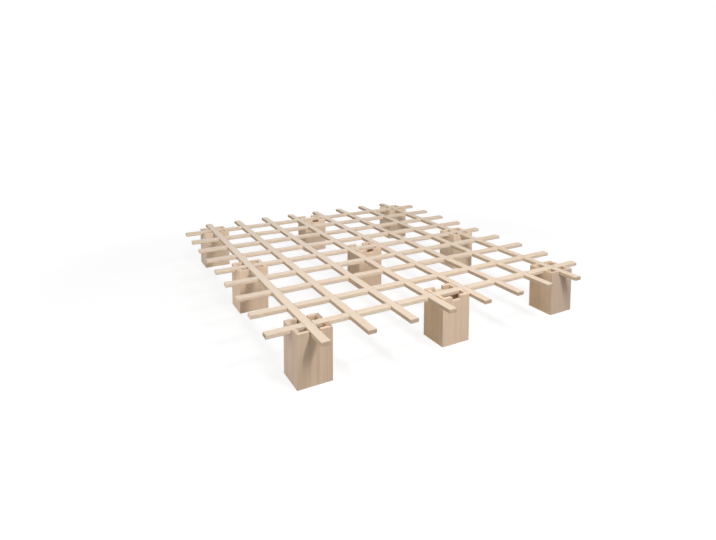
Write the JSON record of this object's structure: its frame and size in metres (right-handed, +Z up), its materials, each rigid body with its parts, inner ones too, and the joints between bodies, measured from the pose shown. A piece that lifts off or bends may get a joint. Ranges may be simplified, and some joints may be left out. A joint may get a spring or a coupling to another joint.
{
  "type": "futon bed frame",
  "caption": "Low lattice bed base: crossing wooden slats halved flush into each other, dropped into the notched rims of square box feet.",
  "frame": {"origin": "on the floor, under the middle of the lattice", "axes": "+Z up, +Y along the long slats from front to back, +X along the cross slats from left to right"},
  "size_m": [1.75, 2, 0.225],
  "materials": {
    "slat_wood": "matte",
    "foot_wood": "matte"
  },
  "bodies": {
    "feet": {"foot_front_left_front_board": "foot_wood", "foot_front_left_right_board": "foot_wood", "foot_front_left_back_board": "foot_wood", "foot_front_left_left_board": "foot_wood", "foot_front_centre_front_board": "foot_wood", "foot_front_centre_right_board": "foot_wood", "foot_front_centre_back_board": "foot_wood", "foot_front_centre_left_board": "foot_wood", "foot_front_right_front_board": "foot_wood", "foot_front_right_right_board": "foot_wood", "foot_front_right_back_board": "foot_wood", "foot_front_right_left_board": "foot_wood", "foot_middle_left_front_board": "foot_wood", "foot_middle_left_right_board": "foot_wood", "foot_middle_left_back_board": "foot_wood", "foot_middle_left_left_board": "foot_wood", "foot_middle_centre_front_board": "foot_wood", "foot_middle_centre_right_board": "foot_wood", "foot_middle_centre_back_board": "foot_wood", "foot_middle_centre_left_board": "foot_wood", "foot_middle_right_front_board": "foot_wood", "foot_middle_right_right_board": "foot_wood", "foot_middle_right_back_board": "foot_wood", "foot_middle_right_left_board": "foot_wood", "foot_back_left_front_board": "foot_wood", "foot_back_left_right_board": "foot_wood", "foot_back_left_back_board": "foot_wood", "foot_back_left_left_board": "foot_wood", "foot_back_centre_front_board": "foot_wood", "foot_back_centre_right_board": "foot_wood", "foot_back_centre_back_board": "foot_wood", "foot_back_centre_left_board": "foot_wood", "foot_back_right_front_board": "foot_wood", "foot_back_right_right_board": "foot_wood", "foot_back_right_back_board": "foot_wood", "foot_back_right_left_board": "foot_wood"},
    "cross_lattice": {"cross_slat_1": "slat_wood", "cross_slat_2": "slat_wood", "cross_slat_3": "slat_wood", "cross_slat_4": "slat_wood", "cross_slat_5": "slat_wood", "cross_slat_6": "slat_wood", "cross_slat_7": "slat_wood", "cross_slat_8": "slat_wood", "cross_slat_9": "slat_wood"},
    "long_slat_1_body": {"long_slat_1": "slat_wood"},
    "long_slat_2_body": {"long_slat_2": "slat_wood"},
    "long_slat_3_body": {"long_slat_3": "slat_wood"},
    "long_slat_4_body": {"long_slat_4": "slat_wood"},
    "long_slat_5_body": {"long_slat_5": "slat_wood"},
    "long_slat_6_body": {"long_slat_6": "slat_wood"},
    "long_slat_7_body": {"long_slat_7": "slat_wood"},
    "long_slat_8_body": {"long_slat_8": "slat_wood"}
  },
  "joints": [
    {"name": "cross_lattice_lift", "type": "slide", "parent": "feet", "child": "cross_lattice", "axis": [0, 0, 1], "range_m": [0, 0.1]},
    {"name": "long_slat_1_lift", "type": "slide", "parent": "cross_lattice", "child": "long_slat_1_body", "axis": [0, 0, 1], "range_m": [0, 0.1]},
    {"name": "long_slat_2_lift", "type": "slide", "parent": "cross_lattice", "child": "long_slat_2_body", "axis": [0, 0, 1], "range_m": [0, 0.1]},
    {"name": "long_slat_3_lift", "type": "slide", "parent": "cross_lattice", "child": "long_slat_3_body", "axis": [0, 0, 1], "range_m": [0, 0.1]},
    {"name": "long_slat_4_lift", "type": "slide", "parent": "cross_lattice", "child": "long_slat_4_body", "axis": [0, 0, 1], "range_m": [0, 0.1]},
    {"name": "long_slat_5_lift", "type": "slide", "parent": "cross_lattice", "child": "long_slat_5_body", "axis": [0, 0, 1], "range_m": [0, 0.1]},
    {"name": "long_slat_6_lift", "type": "slide", "parent": "cross_lattice", "child": "long_slat_6_body", "axis": [0, 0, 1], "range_m": [0, 0.1]},
    {"name": "long_slat_7_lift", "type": "slide", "parent": "cross_lattice", "child": "long_slat_7_body", "axis": [0, 0, 1], "range_m": [0, 0.1]},
    {"name": "long_slat_8_lift", "type": "slide", "parent": "cross_lattice", "child": "long_slat_8_body", "axis": [0, 0, 1], "range_m": [0, 0.1]}
  ]
}
